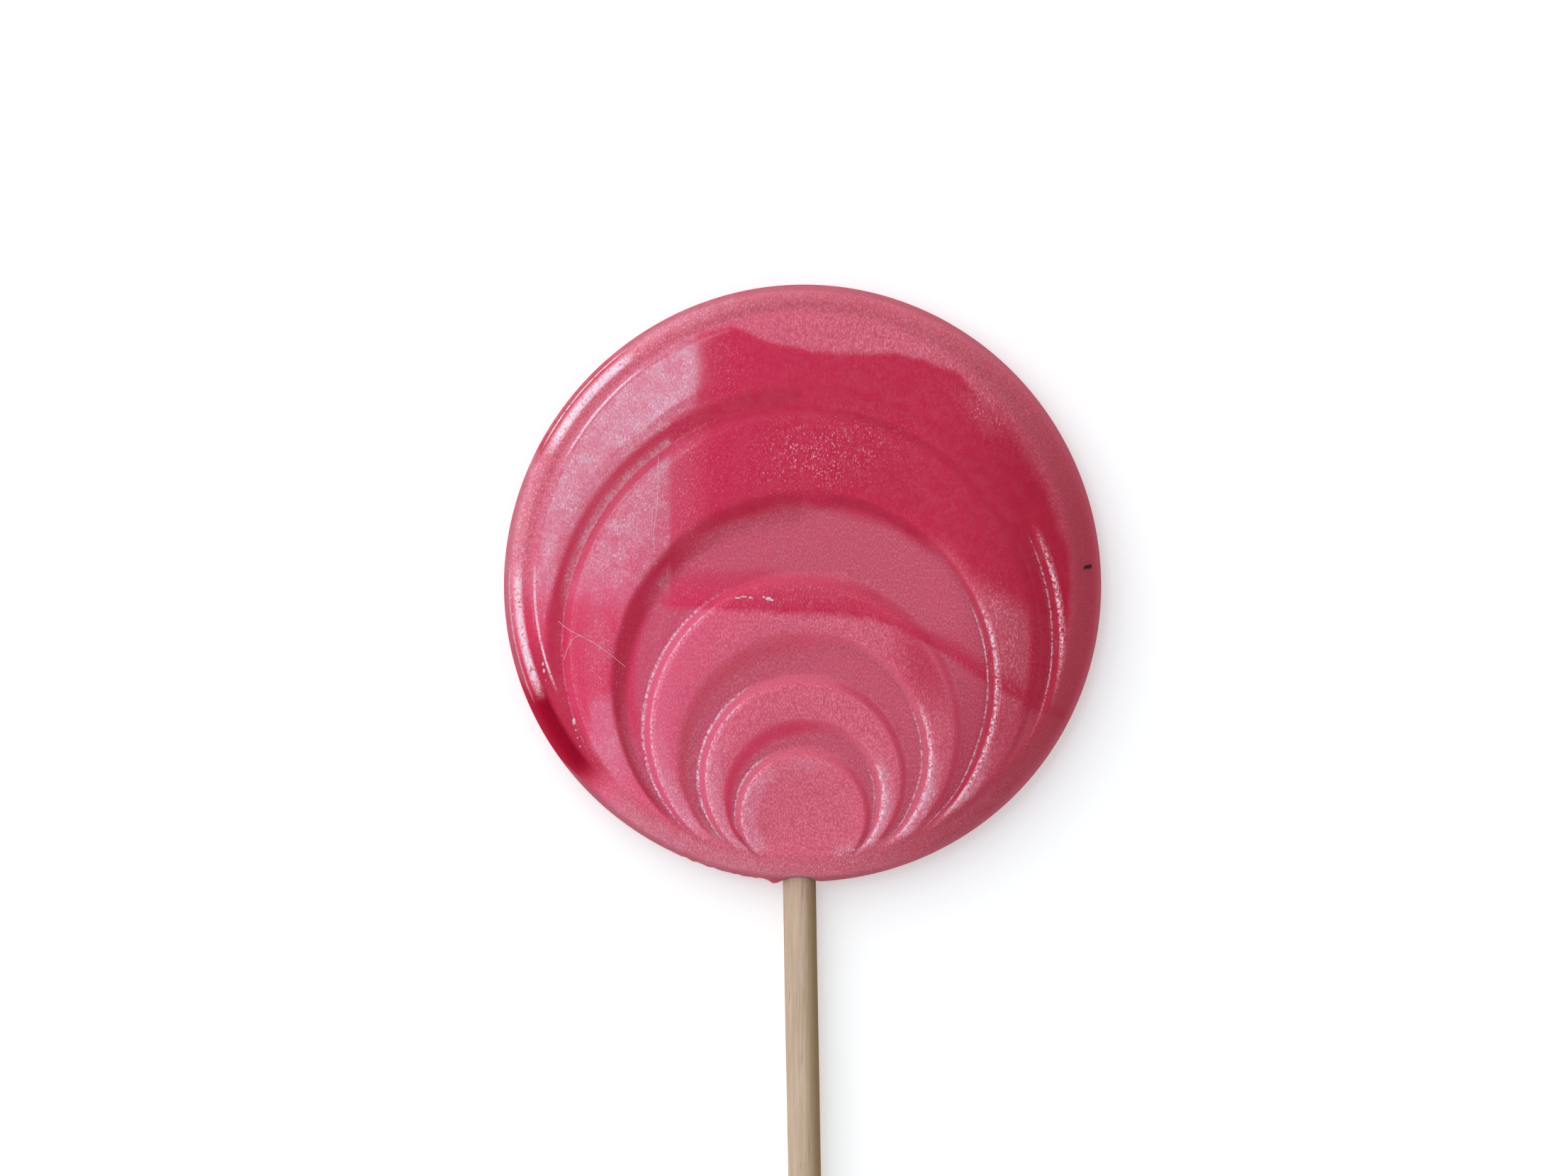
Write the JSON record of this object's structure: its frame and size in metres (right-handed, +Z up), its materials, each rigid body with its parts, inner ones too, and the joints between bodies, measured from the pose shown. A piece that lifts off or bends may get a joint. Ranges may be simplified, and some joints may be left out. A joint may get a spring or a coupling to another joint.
{
  "type": "moulded swirl lollipop",
  "caption": "Flat round moulded lollipop with nested off-centre rings in its face and marbled pink and red colour, on a plain wooden stick.",
  "frame": {"origin": "middle of the candy disc's flat back, which it lies on", "axes": "+Z up out of the relief face, +Y from the stick towards the top of the disc, so the stick runs along -Y"},
  "size_m": [0.07, 0.155, 0.008],
  "materials": {
    "candy": "glossy boiled sugar, pearly pink marbled with red",
    "stick_wood": "bare pale wood"
  },
  "bodies": {
    "root": {"candy_disc": "candy", "stick": "stick_wood"}
  },
  "joints": []
}
